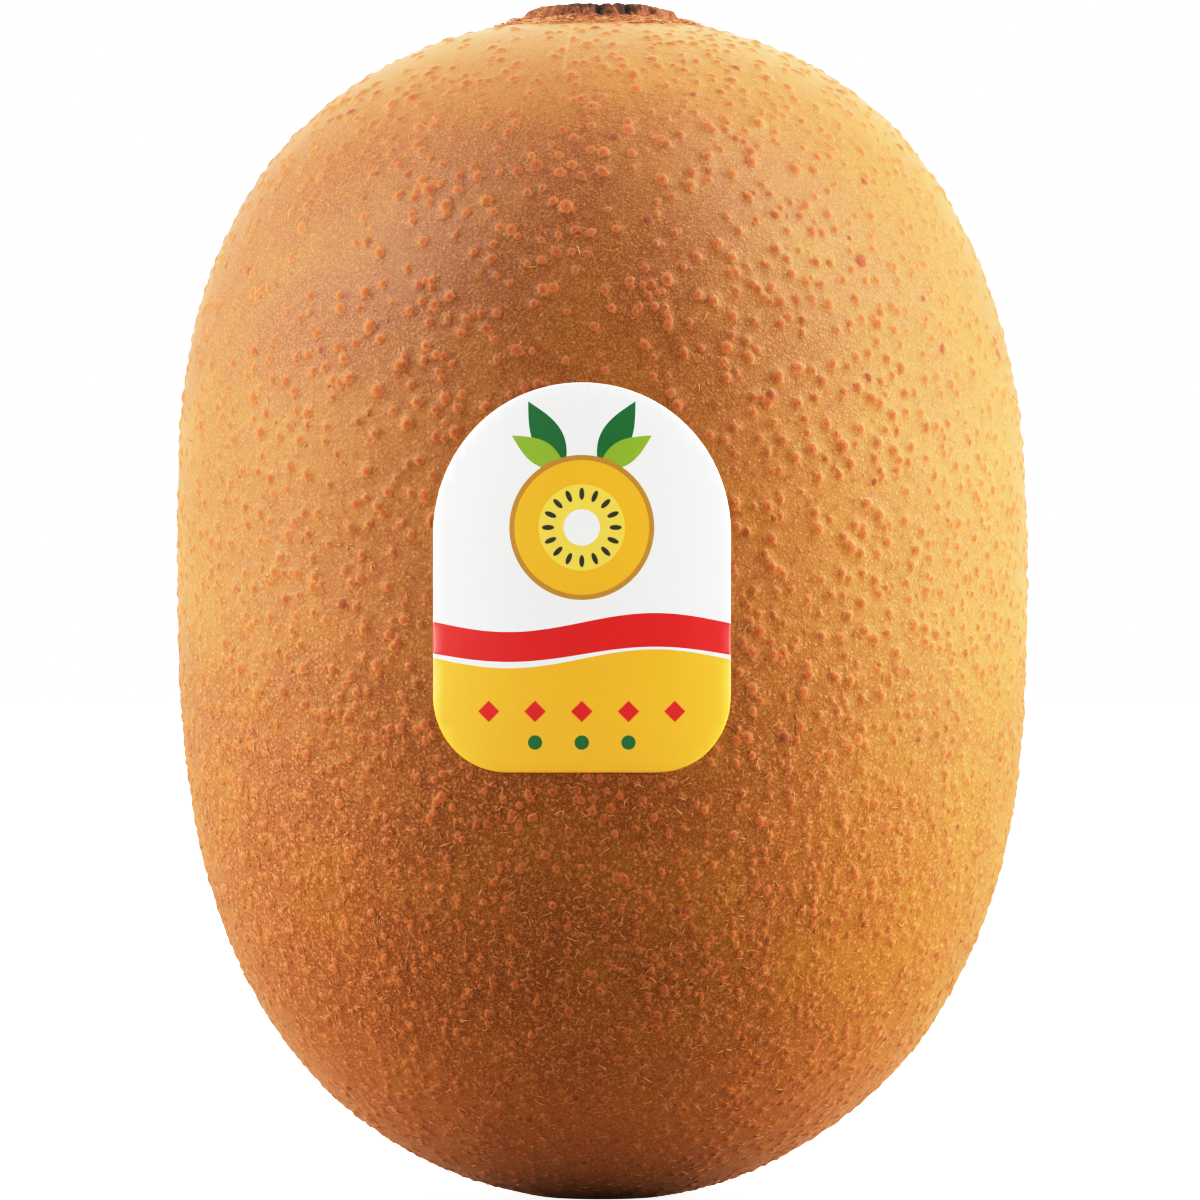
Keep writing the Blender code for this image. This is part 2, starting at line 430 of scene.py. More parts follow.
def measure_spots(points, spots):
    """Each point's distance to its nearest spot, in spot radii, with the relief and that spot's tone."""
    tree = nearness(spots["points"])
    near = np.array([[found[1] for found in tree.find_n(point, 3)] for point in points.tolist()])
    offset = points[:, None, :] - spots["points"][near]
    around = (offset * spots["around"][near]).sum(axis=2)
    along = (offset * spots["along"][near]).sum(axis=2)
    cosine, sine = np.cos(spots["angle"][near]), np.sin(spots["angle"][near])
    lengthways = (around * cosine + along * sine) / spots["long"][near]
    sideways = (along * cosine - around * sine) / spots["short"][near]
    reach = np.hypot(lengthways, sideways)
    relief = (spots["height"][near] * np.interp(reach, *SPOT_PROFILE)).max(axis=1)
    nearest = near[np.arange(len(points)), reach.argmin(axis=1)]
    return reach.min(axis=1), relief, spots["tone"][nearest]


# The skin


def background_places(random):
    """Azimuth and arc of slightly uneven rows of points over the whole skin."""
    azimuths, arcs = [], []
    arc, row = END_SPACING, 0
    while arc < SCAR_ARC - END_SPACING:
        from_end = float(smooth(min(arc, SCAR_ARC - arc) / 6.0))
        spacing = END_SPACING + (SKIN_SPACING - END_SPACING) * from_end
        count = max(6, round(math.tau * float(at_arc(arc, "radius")) / spacing))
        turn = (np.arange(count) + 0.5 * (row % 2) + random.uniform(-0.2, 0.2, count)) / count
        azimuths.append(turn * math.tau - math.pi)
        arcs.append(arc + random.uniform(-0.15, 0.15, count) * spacing)
        arc += spacing * ROW_SHARE
        row += 1
    return np.concatenate([[0.0], *azimuths]), np.concatenate([[0.0], *arcs])


def ridge_offset(points, arc):
    """Sideways distance from the fine ridge, or a large value beyond its ends and on the back."""
    below = SCAR_ARC - arc
    share = (below - RIDGE_TOP[1]) / (RIDGE_END[1] - RIDGE_TOP[1])
    offset = np.abs(points[:, 0] - RIDGE_TOP[0] - (RIDGE_END[0] - RIDGE_TOP[0]) * share)
    return np.where((share >= 0) & (share <= 1) & (points[:, 1] < 0), offset, FAR)


def ridge_places():
    """Azimuth and arc of three rows of points along the fine ridge."""
    share = np.linspace(0.01, 0.99, RIDGE_POINTS)
    arc = np.tile(SCAR_ARC - RIDGE_TOP[1] - (RIDGE_END[1] - RIDGE_TOP[1]) * share, 3)
    middle = RIDGE_TOP[0] + (RIDGE_END[0] - RIDGE_TOP[0]) * share
    across = np.concatenate([middle - RIDGE_HALF_WIDTH, middle, middle + RIDGE_HALF_WIDTH])
    return front_azimuth(across, arc), arc


def skin_places(spots, random):
    """Azimuth and arc of all the skin's points outside the stalk scar, with the scar's outer ring last."""
    azimuth, arc = background_places(random)
    points = skin_frame(azimuth, arc)[0]
    reach, _, _ = measure_spots(points, spots)
    keep = (reach > 1.85) & (ridge_offset(points, arc) > 2 * RIDGE_HALF_WIDTH)
    places = [(azimuth[keep], arc[keep])]
    small = spots["long"] < SMALL_SPOT
    for rings, chosen in ((SPOT_RINGS, ~small), (SMALL_SPOT_RINGS, small)):
        azimuth, arc, own = spot_places(spots, rings, chosen)
        points = skin_frame(azimuth, arc)[0]
        reach, _, _ = measure_spots(points, spots)
        keep = (reach > own - 0.4) & (arc < SCAR_ARC - 0.1)
        keep &= ridge_offset(points, arc) > 1.5 * RIDGE_HALF_WIDTH
        places.append((azimuth[keep], arc[keep]))
    places.append(ridge_places())
    ring = np.arange(SCAR_RING_POINTS) / SCAR_RING_POINTS * math.tau - math.pi
    places.append((ring, np.full(SCAR_RING_POINTS, SCAR_ARC)))
    return tuple(np.concatenate(column) for column in zip(*places))


def triangles(flat_points):
    """Well-shaped triangles between points of a flat drawing, counter-clockwise."""
    found = geometry.delaunay_2d_cdt([Vector(point) for point in flat_points.tolist()], [], [], 0, 1e-7)
    source = np.array([same[0] for same in found[3]])
    return source[np.array(found[2])]


def lumps(points):
    """Gentle unevenness of the skin, which the label follows too."""
    swell, dents = 0.07 * roughly(points, 9.0, 1), 0.022 * roughly(points, 2.6, 2)
    return swell + dents + 0.006 * roughly(points, 0.8, 3)


def skin_relief(points, arc, spots, label):
    """Height added to the smooth skin, with the marks that the material reads."""
    reach, bumps, tone = measure_spots(points, spots)
    ridge = np.clip(1 - ridge_offset(points, arc) / (0.9 * RIDGE_HALF_WIDTH), 0.0, 1.0)
    covered = under_label(points, label, 0.05)
    off_floor = smooth(points[:, 2] / 0.6)
    relief = (lumps(points) + np.where(covered, 0.0, bumps)) * off_floor + RIDGE_HEIGHT * ridge
    return relief, {"spot_reach": np.where(covered, FAR, reach), "spot_tone": tone, "ridge": ridge}


def dimple(points):
    """Rise of the blossom end's dimple, rough with the flower's dried remains."""
    radius = np.hypot(points[:, 0], points[:, 1] / DEPTH_SHARE)
    return DIMPLE_DEPTH * smooth(1.15 - radius / DIMPLE_RADIUS) * (1 + 0.35 * roughly(points, 0.45, 4))


# The stalk scar


def scar_places():
    """Flat places inside the scar's outer ring, in staggered rows."""
    rows = np.arange(-SCAR_BASE, SCAR_BASE, SCAR_SPACING * ROW_SHARE)
    row = np.arange(-SCAR_BASE, SCAR_BASE, SCAR_SPACING)
    across = row[None, :] + (np.arange(len(rows)) % 2)[:, None] * SCAR_SPACING / 2
    across, along = across.ravel(), np.repeat(rows, len(row))
    inside = np.hypot(across, along) < SCAR_BASE - SCAR_SPACING * 0.8
    return across[inside], along[inside]


def scar_relief(across, along):
    """Height of the corky scar above the smooth skin, with how crusty and how dark it is; the dark is
    partly its own tissue and partly painted shade.
    """
    radius, azimuth = np.hypot(across, along), np.arctan2(along, across)
    flat = columns(across, along, np.zeros_like(across))
    facing = columns(np.cos(azimuth), np.sin(azimuth), np.zeros_like(azimuth)) * SCAR_RIM
    # The torn edge wanders in and out; crumbs of cork stand on it
    torn = 0.15 * roughly(facing, 2.1, 5) + 0.08 * roughly(facing, 0.8, 6)
    rim = SCAR_RIM + torn
    crumbs = 0.1 * roughly(flat, 0.6, 7) + 0.12 * roughly(flat, 0.26, 8)
    hollow = np.zeros_like(radius)
    for place, half_width in HOLLOWS:
        hollow = np.maximum(hollow, np.exp(-(((across - place) / half_width) ** 2)) * (along < 0))
    # Skin that rises to the scar's foot, the torn wall on it, lower at both sides, and its loose ledges
    foot = smooth((SCAR_BASE - radius) / FOOT_WIDTH)
    wall = smooth((rim + 0.5 + 1.6 * crumbs - HOLLOW_DEPTH * hollow - radius) / 0.6)
    top = 1 + 0.16 * roughly(facing, 1.6, 9) - 0.4 * (across / SCAR_RIM) ** 2 * wall
    height = SCAR_HEIGHT * ((1 - WALL_SHARE) * foot + WALL_SHARE * wall * top)
    height += LEDGE_HEIGHT * np.sin(height / LEDGE_GAP * math.tau + 5 * roughly(flat, 1.1, 15)) * wall
    # The dished top, with the woody plug in its middle, the plug's pit and its cracks
    height -= DISH_DEPTH * smooth((rim - 0.45 - radius) / 0.8)
    height += PLUG_RISE * smooth((PLUG_RADIUS + 0.2 * roughly(facing, 1.4, 11) - radius) / 0.4)
    pit = smooth((PIT_RADIUS + 0.15 - radius) / 0.35)
    height -= PIT_DEPTH * pit
    cracks = np.abs(np.sin(azimuth * 7 + 1.5 * roughly(flat, 1.5, 12)))
    height -= 0.12 * smooth((0.35 - cracks) / 0.35) * smooth((PLUG_RADIUS - radius) / 0.5) * (1 - pit)
    height += 0.6 * crumbs * smooth(wall * 3)
    # The crust ends raggedly on the foot. Its torn edge is dark, partly its own colour and partly painted
    # shadow; the hollows, the pit and the dished ring round the plug are darkened with painted shade
    crust = smooth((rim + 0.85 + 1.6 * torn + 3.0 * crumbs - radius) / 0.4)
    crust = np.maximum(crust, 0.2 * smooth((SCAR_BASE - 0.4 + 3.0 * crumbs - radius) / 0.6))
    edge = smooth((wall * top - 0.7) / 0.25)
    # Painted shade: darker in the hollows near the rim and in the dished ring round the plug
    hollow_shade = 0.9 * smooth(hollow * 1.7 - 2.0 * crumbs) * smooth((rim + 0.36 - radius) / 0.2)
    dish_shade = 0.4 * smooth((rim - 0.6 - radius) / 0.5)
    dark = np.maximum(np.maximum(0.85 * edge, hollow_shade), np.maximum(pit, dish_shade))
    return np.maximum(height, 0.0), crust, np.clip(dark - 0.9 * crumbs, 0.0, 1.0)


def make_skin(skin, label):
    """The skin's mesh: places, triangles, relief, then the marks and a bake map."""
    random = np.random.default_rng(7)
    spots = scatter_spots(skin, label, random)
    azimuth, arc = skin_places(spots, random)
    plane = at_arc(arc, "plane")
    # The flat drawing shows the skin from inside, so its triangles are turned over
    faces = triangles(columns(plane * np.cos(azimuth), plane * np.sin(azimuth)))[:, ::-1]
    smooth_points, outwards, _, _ = skin_frame(azimuth, arc)
    relief, marks = skin_relief(smooth_points, arc, spots, label)
    points = smooth_points + outwards * relief[:, None]
    points[:, 2] = np.maximum(points[:, 2], 0.0) + dimple(points)

    across, along = scar_places()
    ring = np.arange(len(arc) - SCAR_RING_POINTS, len(arc))
    edge = SCAR_BASE * columns(np.cos(azimuth[ring]), np.sin(azimuth[ring]))
    # The scar's places follow the skin's points, whose last ones are the ring that they share
    scar_faces = ring[0] + triangles(np.concatenate([edge, columns(across, along)]))
    height, crust, dark = scar_relief(across, along)
    radius = np.hypot(across, along)
    base = np.interp(-radius, -OUTLINE["radius"][UPPER_HALF], OUTLINE["height"][UPPER_HALF])
    scar_points = shaped(radius, np.arctan2(along, across), base)
    scar_points[:, 2] += height + lumps(scar_points)

    zeros, nothing = np.zeros(len(arc)), np.zeros(len(across))
    marks = {
        "spot_reach": np.concatenate([marks["spot_reach"], nothing + FAR]),
        "spot_tone": np.concatenate([marks["spot_tone"], nothing]),
        "ridge": np.concatenate([marks["ridge"], nothing]),
        "crust": np.concatenate([zeros, crust]),
        "scar_dark_and_shade": np.concatenate([zeros, dark]),
    }
    all_points = np.concatenate([points, scar_points])
    all_faces = np.concatenate([faces, scar_faces])
    return new_mesh("kiwi_skin", all_points, all_faces.tolist(), marks, skin_map(all_points, all_faces))


def skin_map(points, faces):
    """Bake places of each face corner: a belt round the fruit, and a flat disc for each end."""
    corners = points[faces]
    middle = corners.mean(axis=1)
    turn = np.arctan2(corners[..., 1], corners[..., 0]) / math.tau + 0.5
    turn = np.where((np.ptp(turn, axis=1)[:, None] > 0.5) & (turn < 0.5), turn + 1.0, turn)
    belt_height = (corners[..., 2] - BELT[0]) / (BELT[1] - BELT[0])
    places = BELT_CORNER + np.stack([turn, belt_height], axis=2) * BELT_SIZE
    for at, disc in zip(DISC_MIDDLES, (middle[:, 2] < BELT[0], middle[:, 2] > BELT[1])):
        places[disc] = at + corners[disc][..., :2] / DISC_SPAN
    return places


def new_mesh(name, points, faces, marks=None, places=None):
    """A mesh in metres from points in millimetres, with its marks and its bake map."""
    mesh = bpy.data.meshes.new(name)
    mesh.from_pydata((points * MM).tolist(), [], faces)
    mesh.shade_smooth()
    for key, values in (marks or {}).items():
        mesh.attributes.new(key, "FLOAT", "POINT").data.foreach_set("value", values.astype(np.float32))
    if places is not None:
        mesh.uv_layers.new(name="OFBake").data.foreach_set("uv", places.astype(np.float32).ravel())
    return mesh


def new_object(name, data):
    thing = bpy.data.objects.new(name, data)
    bpy.context.scene.collection.objects.link(thing)
    return thing


def new_piece(name, mesh, material):
    mesh.materials.append(material)
    piece = new_object(name, mesh)
    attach(piece, "root")
    return piece


# Loose hairs and the scar's fibres

HAIR_SEGMENTS = 3
HAIR_SIDES = 3
# A strand rises from the skin and sinks again as a sine does over this angle
ARCH = 0.8 * math.pi
# Shortest and longest loose hair, and torn fibre of the scar and of the blossom end
HAIR_LENGTHS = (0.25, 0.65)
TORN_LENGTHS = (0.3, 1.0)
TUFT_LENGTHS = (0.5, 1.0)
SCAR_FIBRES = 620
BLOSSOM_FIBRES = 60
# The strands' bake map: strands in a row, and the share of its square that a face fills
MAP_COLUMNS = 120
FACE_SHARE = 0.9


def strand_faces():
    """Faces of one strand, and the place of each face corner in the strand's own part of the bake map."""
    faces, squares = [], []
    last, top = (HAIR_SEGMENTS - 1) * HAIR_SIDES, HAIR_SEGMENTS - 1
    for k in range(HAIR_SIDES):
        after, right = (k + 1) % HAIR_SIDES, k + FACE_SHARE
        for j in range(top):
            low, high = j * HAIR_SIDES, (j + 1) * HAIR_SIDES
            faces.append((low + k, low + after, high + after, high + k))
            squares.append(((k, j), (right, j), (right, j + FACE_SHARE), (k, j + FACE_SHARE)))
        faces.append((last + k, last + after, last + HAIR_SIDES))
        squares.append(((k, top), (right, top), (k, top + FACE_SHARE)))
    faces.append((2, 1, 0))
    squares.append(((HAIR_SIDES, 0), (HAIR_SIDES + FACE_SHARE, 0), (HAIR_SIDES, FACE_SHARE)))
    whole = [HAIR_SIDES + 1.2, HAIR_SEGMENTS + 0.2]
    return faces, np.concatenate([np.array(square, float) for square in squares]) / whole


def strands(places, heading, length, radius, curl, lift, rise, random):
    """Thin tapering tubes that lie along the skin, curl sideways and end in a point."""
    azimuth, arc = places
    root, outwards, around, along = skin_frame(azimuth, arc)
    count = len(arc)
    turn, position, rings = heading.copy(), root + outwards * rise[:, None], []
    for j in range(HAIR_SEGMENTS + 1):
        ahead = around * np.cos(turn)[:, None] + along * np.sin(turn)[:, None]
        sideways = along * np.cos(turn)[:, None] - around * np.sin(turn)[:, None]
        taper = radius * (1 - 0.25 * j / HAIR_SEGMENTS)
        if j == HAIR_SEGMENTS:
            rings.append(position[:, None, :])
        else:
            corner = (np.arange(HAIR_SIDES) / HAIR_SIDES * math.tau)[None, :, None]
            spread = sideways[:, None, :] * np.cos(corner) + outwards[:, None, :] * np.sin(corner)
            rings.append(position[:, None, :] + spread * taper[:, None, None])
        share = (j + 1) / HAIR_SEGMENTS
        climb = lift * (math.sin(ARCH * share) - math.sin(ARCH * (share - 1 / HAIR_SEGMENTS)))
        position = position + ahead * (length / HAIR_SEGMENTS)[:, None] + outwards * climb[:, None]
        # Keeps to the skin where the fruit bends away
        position -= outwards * ((length * share) ** 2 * (2 / HAIR_SEGMENTS) / (2 * HALF_WIDTH))[:, None]
        turn = turn + curl / HAIR_SEGMENTS * random.uniform(0.5, 1.5, count)
    per_strand = HAIR_SIDES * HAIR_SEGMENTS + 1
    points = np.concatenate(rings, axis=1).reshape(-1, 3)
    points[:, 2] = np.maximum(points[:, 2], 0.0)
    faces, corner_places = strand_faces()
    all_faces = [tuple(i * per_strand + corner for corner in face) for i in range(count) for face in faces]
    square_at = columns(np.arange(count) % MAP_COLUMNS, np.arange(count) // MAP_COLUMNS)
    rows = math.ceil(count / MAP_COLUMNS)
    map_places = (square_at[:, None, :] + corner_places[None, :, :]) / [MAP_COLUMNS, rows]
    reach = np.repeat(np.arange(HAIR_SEGMENTS) / HAIR_SEGMENTS, HAIR_SIDES)
    marks = {
        "strand_tone": np.repeat(random.random(count), per_strand),
        "strand_reach": np.tile(np.concatenate([reach, [1.0]]), count),
    }
    return points, all_faces, marks, map_places


def hair_places(skin, label, random):
    """Roots of the loose hairs: many low on the fruit, few higher up, none on the label."""
    tries = skin.hairs * 4
    arc = random_arc(random, tries)
    azimuth = random.uniform(-np.pi, np.pi, tries)
    points = skin_frame(azimuth, arc)[0]
    patchy = 0.75 + 0.6 * roughly(points, 5.0, 13)
    likely = (0.1 + 0.9 * smooth((52.0 - points[:, 2]) / 34.0)) * patchy
    keep = (random.random(tries) < likely) & (points[:, 2] > 0.8) & ~under_label(points, label, 0.5)
    return azimuth[keep][: skin.hairs], arc[keep][: skin.hairs]


def make_hairs(skin, label):
    random = np.random.default_rng(21)
    places = hair_places(skin, label, random)
    count = len(places[0])
    low = lowness(at_arc(places[1], "height"))
    length = random.uniform(*HAIR_LENGTHS, count) * (0.8 + 0.4 * low)
    length = length * np.exp(random.normal(0.0, 0.2, count))
    radius = skin.hair_radius / MM * random.uniform(0.7, 1.2, count)
    curl = random.normal(0.0, 1.5, count)
    lift = random.uniform(0.03, 0.12, count)
    rise = np.full(count, 0.01)
    heading = random.uniform(0.0, math.tau, count)
    points, faces, marks, map_places = strands(places, heading, length, radius, curl, lift, rise, random)
    return new_mesh("kiwi_down", points, faces, marks, map_places)


def make_fibres():
    """Torn fibres round the stalk scar, and the flower's dried bristles in the blossom end."""
    random = np.random.default_rng(33)
    azimuth = random.uniform(-np.pi, np.pi, SCAR_FIBRES)
    arc = SCAR_ARC + random.uniform(-0.3, 1.1, SCAR_FIBRES)
    tuft_azimuth = random.uniform(-np.pi, np.pi, BLOSSOM_FIBRES)
    tuft_arc = random.uniform(0.3, 1.8, BLOSSOM_FIBRES)
    places = np.concatenate([azimuth, tuft_azimuth]), np.concatenate([arc, tuft_arc])
    tuft = np.arange(SCAR_FIBRES + BLOSSOM_FIBRES) >= SCAR_FIBRES
    count = len(tuft)
    length = np.where(tuft, random.uniform(*TUFT_LENGTHS, count), random.uniform(*TORN_LENGTHS, count))
    radius = random.uniform(0.02, 0.04, count)
    heading = -QUARTER + random.normal(0.0, 1.0, count)
    curl = random.normal(0.0, 0.9, count)
    lift = np.where(tuft, 0.05, random.uniform(0.02, 0.16, count))
    foot = (1 - WALL_SHARE) * SCAR_HEIGHT * smooth((places[1] - SCAR_ARC) / FOOT_WIDTH)
    rise = np.where(tuft, -0.15, foot + random.uniform(-0.05, 0.1, count))
    points, faces, marks, map_places = strands(places, heading, length, radius, curl, lift, rise, random)
    return new_mesh("scar_fibres", points, faces, marks, map_places)


# The label's print, in millimetres from the label's middle


def turned(across, up, along, aside, turn):
    """Places at these distances from one point, measured along and across a turned line."""
    cosine, sine = math.cos(turn), math.sin(turn)
    return columns(across + along * cosine - aside * sine, up + along * sine + aside * cosine)


def ellipse(across, up, half_width, half_height, turn=0.0, count=40):
    angle = np.arange(count) / count * math.tau
    x, y = half_width * np.cos(angle), half_height * np.sin(angle)
    return turned(across, up, x, y, turn)


def leaf(across, up, length, half_width, turn, count=18):
    """A pointed leaf that starts at this place and runs in this direction."""
    share = np.linspace(0.0, 1.0, count)
    belly = half_width * np.sin(math.pi * share**0.85)
    along = np.concatenate([share, share[-2:0:-1]]) * length
    aside = np.concatenate([belly, -belly[-2:0:-1]])
    return turned(across, up, along, aside, turn)


def label_outline(width, height, inset, count=26):
    """The arched outline, moved inwards by this much, counter-clockwise from the lower right corner."""
    half, corner = width / 2 - inset, LABEL_CORNER - inset
    low = -height / 2 + inset
    turn = np.linspace(-QUARTER, 0.0, count)
    right = columns(half - corner + corner * np.cos(turn), low + corner + corner * np.sin(turn))
    turn = np.linspace(0.0, math.pi, 3 * count)
    arch = columns(half * np.cos(turn), height / 2 - width / 2 + half * np.sin(turn))
    left = right[::-1] * [-1, 1]
    return np.concatenate([right, arch, left])


def divided(loop):
    """The same closed shape with points added on its long straight stretches."""
    after = np.roll(loop, -1, axis=0)
    counts = np.ceil(np.hypot(*(after - loop).T) / LABEL_SPACING).astype(int).clip(1)
    stretches = []
    for start, end, count in zip(loop, after, counts):
        stretches.append(start + (end - start) * np.arange(count)[:, None] / count)
    return np.concatenate(stretches)


def wave(low, high, swell, reach):
    """A band across the label between two wavy edges."""
    across = np.linspace(-reach, reach, 60)
    swing = swell * np.sin(across / reach * math.pi * 1.1)
    return np.concatenate([columns(across, low + swing * 0.8), columns(across, high + swing)[::-1]])


def label_print(settings):
    """The shapes of the print in the order that they are laid down, each with its ink."""
    reach = settings.width / MM / 2 + 0.6
    floor = -settings.height / MM / 2 - 0.6
    shapes = [(wave(floor, -4.7, 0.55, reach), settings.gold)]
    shapes.append((wave(-4.45, -2.6, 0.55, reach), settings.red))
    for side in (-1, 1):
        for turn, length, ink in ((0.5, 4.4, settings.green), (1.02, 3.6, settings.lime)):
            heading = QUARTER - side * turn
            shapes.append((leaf(side * 1.0, 6.35, length, length * 0.2, heading), ink))
    rings = ((4.2, 90, settings.rind), (3.9, 90, settings.gold), (2.5, 70, settings.flesh))
    for radius, count, ink in rings:
        shapes.append((ellipse(0.0, SLICE_UP, radius, radius, count=count), ink))
    for i in range(SEEDS):
        turn = math.tau * i / SEEDS
        place = SEED_RING * math.cos(turn), SLICE_UP + SEED_RING * math.sin(turn)
        shapes.append((ellipse(*place, 0.36, 0.15, turn, count=14), settings.seed))
    shapes.append((ellipse(0.0, SLICE_UP, 1.05, 1.05, count=40), settings.paper))
    # Diamonds, then dots: how many on each side of the middle one, height, radius, corners and ink
    motifs = ((2, -7.75, 0.62, 4, settings.red), (1, -9.55, 0.42, 24, settings.green))
    for most, up, radius, count, ink in motifs:
        for i in range(-most, most + 1):
            shapes.append((ellipse(i * MOTIF_GAP, up, radius, radius, count=count), ink))
    return shapes


def on_skin(flat, settings):
    """Takes flat places on the label to the front of the skin, with the outward directions there."""
    across = LABEL_CENTRE[0] + LABEL_BEND * np.sin(flat[:, 0] / LABEL_BEND)
    height = LABEL_CENTRE[1] + flat[:, 1]
    side = (OUTLINE["height"] > 8.0) & (OUTLINE["height"] < 66.0)
    arc = np.interp(height, OUTLINE["height"][side], OUTLINE["arc"][side])
    points, outwards, _, _ = skin_frame(front_azimuth(across, arc), arc)
    return points, outwards


def label_sheet(shapes, width, height):
    """Flat points and triangles that follow the edges of the print, with the ink of each triangle."""
    steps = [np.arange(-size / 2, size / 2, LABEL_SPACING) for size in (width, height)]
    grid = np.stack(np.meshgrid(*steps), axis=2).reshape(-1, 2)
    # The triangulation takes outlines that run counter-clockwise
    places, loops, start = [], [], 0
    for shape, _ in shapes:
        shape = divided(shape)
        after = np.roll(shape, -1, axis=0)
        clockwise = (shape[:, 0] * after[:, 1] - after[:, 0] * shape[:, 1]).sum() < 0
        places.append(shape[::-1] if clockwise else shape)
        loops.append(list(range(start, start + len(shape))))
        start += len(shape)
    drawn = [Vector(point) for point in np.concatenate([*places, grid]).tolist()]
    found = geometry.delaunay_2d_cdt(drawn, [], loops, 0, 1e-5)
    flat = np.array([tuple(point) for point in found[0]])
    kept = [(face, max(owners)) for face, owners in zip(found[2], found[5]) if 0 in owners]
    faces = np.array([face for face, _ in kept])
    inks = np.array([tuple(shapes[owner][1]) for _, owner in kept])
    return flat, faces, inks


def make_label_mesh(settings):
    """One thin sheet of paper with its print, laid on the skin."""
    width, height, thickness = settings.width / MM, settings.height / MM, settings.thickness / MM
    shapes = [(label_outline(width, height, inset), settings.paper) for inset in (0.0, LABEL_EDGE)]
    flat, faces, inks = label_sheet(shapes + label_print(settings), width, height)
    # Edges that only one triangle has are the sheet's rim, where the walls stand
    ends = np.concatenate([faces[:, [0, 1]], faces[:, [1, 2]], faces[:, [2, 0]]])
    known = {tuple(edge) for edge in ends.tolist()}
    rim = [edge for edge in ends.tolist() if (edge[1], edge[0]) not in known]
    on_rim = np.zeros(len(flat), bool)
    on_rim[np.unique(rim)] = True
    points, outwards = on_skin(flat, settings)
    ripple = lumps(points) + 0.012 * (1 + roughly(points, 4.0, 14))
    top = points + outwards * (np.where(on_rim, LABEL_RIM * thickness, thickness) + ripple)[:, None]
    back = points + outwards * (LABEL_GLUE + ripple)[:, None]
    count = len(flat)
    walls = [(b + count, b, a) for a, b in rim] + [(a + count, b + count, a) for a, b in rim]
    all_faces = faces.tolist() + (faces[:, ::-1] + count).tolist() + walls
    # Points outside the outline have no face and are dropped
    used = np.unique(np.array(all_faces))
    renumber = np.zeros(2 * count, int)
    renumber[used] = np.arange(len(used))
    all_faces = renumber[np.array(all_faces)]
    flat_map = 0.5 + flat / [2.1 * width, 1.05 * height]
    both = np.concatenate([flat_map - [0.25, 0.0], flat_map + [0.25, 0.0]])[used]
    mesh = new_mesh("label", np.concatenate([top, back])[used], all_faces.tolist(), None, both[all_faces])
    plain = np.tile(np.array(tuple(settings.paper)), (len(all_faces) - len(faces), 1))
    corner_inks = np.repeat(np.concatenate([inks, plain]), 3, axis=0)
    mesh.attributes.new("ink", "FLOAT_COLOR", "CORNER").data.foreach_set("color", corner_inks.ravel())
    return mesh


# Materials

# Sockets go by number. Of a range: 0 its reading, 1 and 2 its start and end, 3 and 4 what they give.
# Of a mix: 0 the share, 6 and 7 its two colours.
SOFT = {"interpolation_type": "SMOOTHSTEP"}
COLOURS = {"data_type": "RGBA"}
# Number of the output that gives the mixed colour
MIXED = 2


def add_node(tree, kind, links, out=0, **settings):
    """Adds a shader node with these settings, fills its sockets with values or links, gives one output."""
    node = tree.nodes.new("ShaderNode" + kind)
    for key, value in settings.items():
        setattr(node, key, value)
    for socket, value in links.items():
        if isinstance(value, bpy.types.NodeSocket):
            tree.links.new(value, node.inputs[socket])
        else:
            node.inputs[socket].default_value = value
    return node.outputs[out]


def new_material(name, **values):
    """A material whose shader has these plain values on its own sockets."""
    material = bpy.data.materials.new(name)
    material.use_nodes = True
    tree = material.node_tree
    shader = tree.nodes["Principled BSDF"]
    for socket, value in values.items():
        shader.inputs[socket.replace("_", " ")].default_value = value
    return material, tree, shader


def layered(tree, base, layers):
    """Lays colours over a base; a layer is a reading, its start and full value, its most and a shade."""
    for reading, start, full, most, shade in layers:
        share = add_node(tree, "MapRange", {0: reading, 1: start, 2: full, 4: most}, **SOFT)
        base = add_node(tree, "Mix", {0: share, 6: base, 7: shade}, MIXED, **COLOURS)
    return base


